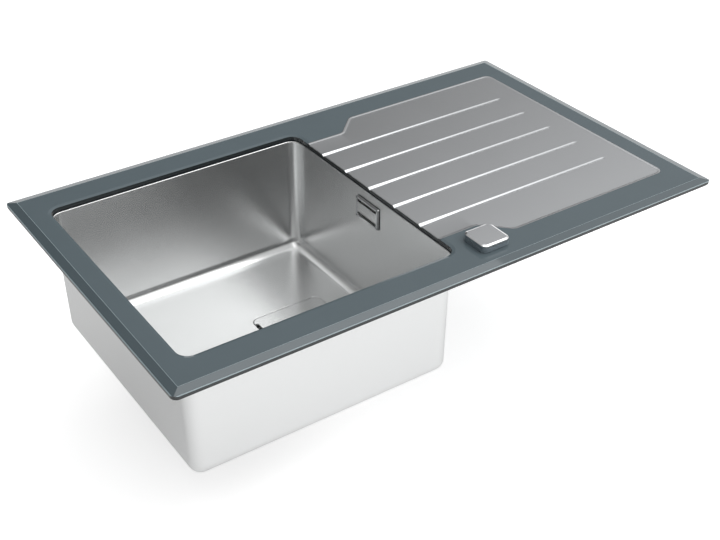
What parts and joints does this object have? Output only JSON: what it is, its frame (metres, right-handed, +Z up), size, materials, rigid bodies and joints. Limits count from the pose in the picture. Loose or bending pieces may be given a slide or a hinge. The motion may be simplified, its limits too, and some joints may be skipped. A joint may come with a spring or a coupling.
{
  "type": "inset kitchen sink with drainer",
  "caption": "Inset kitchen sink: bevelled glass top, square steel bowl, ribbed steel drainer, overflow, square drain cover and a basket waste opened by a square turning knob.",
  "frame": {"origin": "in the plane of the worktop (underside of the rim seal), under the middle of the glass top", "axes": "+X along the length from the bowl to the drainer, +Y to the back, +Z up"},
  "size_m": [0.86, 0.51, 0.3183],
  "materials": {
    "grey_glass": "toughened glass, grey enamel behind",
    "brushed_steel": "fine linen grain",
    "satin_steel": "satin",
    "polished_steel": "brushed top, polished edge",
    "zinc_steel": "bright zinc",
    "brass": "turned",
    "black_rubber": "matt",
    "foam_rubber": "closed-cell foam",
    "black_sealant": "cured silicone",
    "grey_foam": "sound-deadening mat",
    "white_plastic": "moulded polypropylene",
    "black_plastic": "moulded",
    "grey_plastic": "moulded, fine lines",
    "grey_hose": "ribbed polypropylene"
  },
  "bodies": {
    "sink": {"glass_top": "grey_glass", "drainer_panel": "brushed_steel", "drainer_bond": "black_sealant", "bowl": "satin_steel", "bowl_bond": "black_sealant", "rim_seal": "foam_rubber", "sound_pad": "grey_foam", "clip_brackets": "zinc_steel", "clip_pins": "zinc_steel", "waste_cup": "satin_steel", "cup_seal": "black_rubber", "bowl_seal": "black_rubber", "waste_body": "white_plastic", "waste_screw": "satin_steel", "shaft_seal": "black_rubber", "cable_case": "white_plastic", "cable_case_lid": "white_plastic", "cable_sheath": "black_plastic", "cable_core": "zinc_steel", "knob_bush": "brass", "top_washer": "black_rubber", "under_washer": "black_rubber", "knob_nut": "brass", "drum_case": "white_plastic", "drum_case_lid": "white_plastic", "overflow_frame": "satin_steel", "overflow_insert": "satin_steel", "overflow_screw": "zinc_steel", "overflow_seal": "black_rubber", "overflow_gasket": "black_rubber", "overflow_housing": "white_plastic", "overflow_hose": "grey_hose", "hose_collars": "white_plastic"},
    "knob": {"knob_cap": "polished_steel", "knob_grip": "grey_plastic", "knob_spindle": "zinc_steel", "cable_drum": "white_plastic"},
    "plug": {"strainer_basket": "satin_steel", "basket_plug": "black_plastic", "basket_seal": "black_rubber", "basket_stem": "brass"},
    "lever": {"lift_lever": "brass", "cable_arm": "white_plastic"},
    "cover": {"drain_cover": "satin_steel", "cover_feet": "black_rubber"},
    "clips_front": {"front_clips": "zinc_steel", "front_clip_screws": "zinc_steel"},
    "clips_back": {"back_clips": "zinc_steel", "back_clip_screws": "zinc_steel"},
    "clips_side": {"side_clips": "zinc_steel", "side_clip_screws": "zinc_steel"}
  },
  "joints": [
    {"name": "knob_turn", "type": "hinge", "parent": "sink", "child": "knob", "pos_m": [0.0565, -0.2025, 0.012], "axis": [0, 0, -1], "range_deg": [0, 90]},
    {"name": "basket_lift", "type": "slide", "parent": "sink", "child": "plug", "axis": [0, 0, 1], "range_m": [0, 0.0095]},
    {"name": "lever_turn", "type": "hinge", "parent": "sink", "child": "lever", "pos_m": [-0.0909, 0, -0.25603], "axis": [0, 1, 0], "range_deg": [0, 40]},
    {"name": "cover_lift", "type": "slide", "parent": "sink", "child": "cover", "axis": [0, 0, 1], "range_m": [0, 0.08]},
    {"name": "front_clips_swing", "type": "hinge", "parent": "sink", "child": "clips_front", "pos_m": [0, -0.235, -0.0045], "axis": [-1, 0, 0], "range_deg": [0, 90]},
    {"name": "back_clips_swing", "type": "hinge", "parent": "sink", "child": "clips_back", "pos_m": [0, 0.235, -0.0045], "axis": [1, 0, 0], "range_deg": [0, 90]},
    {"name": "side_clips_swing", "type": "hinge", "parent": "sink", "child": "clips_side", "pos_m": [0.41, 0, -0.0045], "axis": [0, -1, 0], "range_deg": [0, 90]}
  ],
  "couplings": [
    {"joint": "basket_lift", "follows": "knob_turn", "m_per_rad": 0.006047},
    {"joint": "lever_turn", "follows": "knob_turn", "ratio": 0.4444}
  ]
}
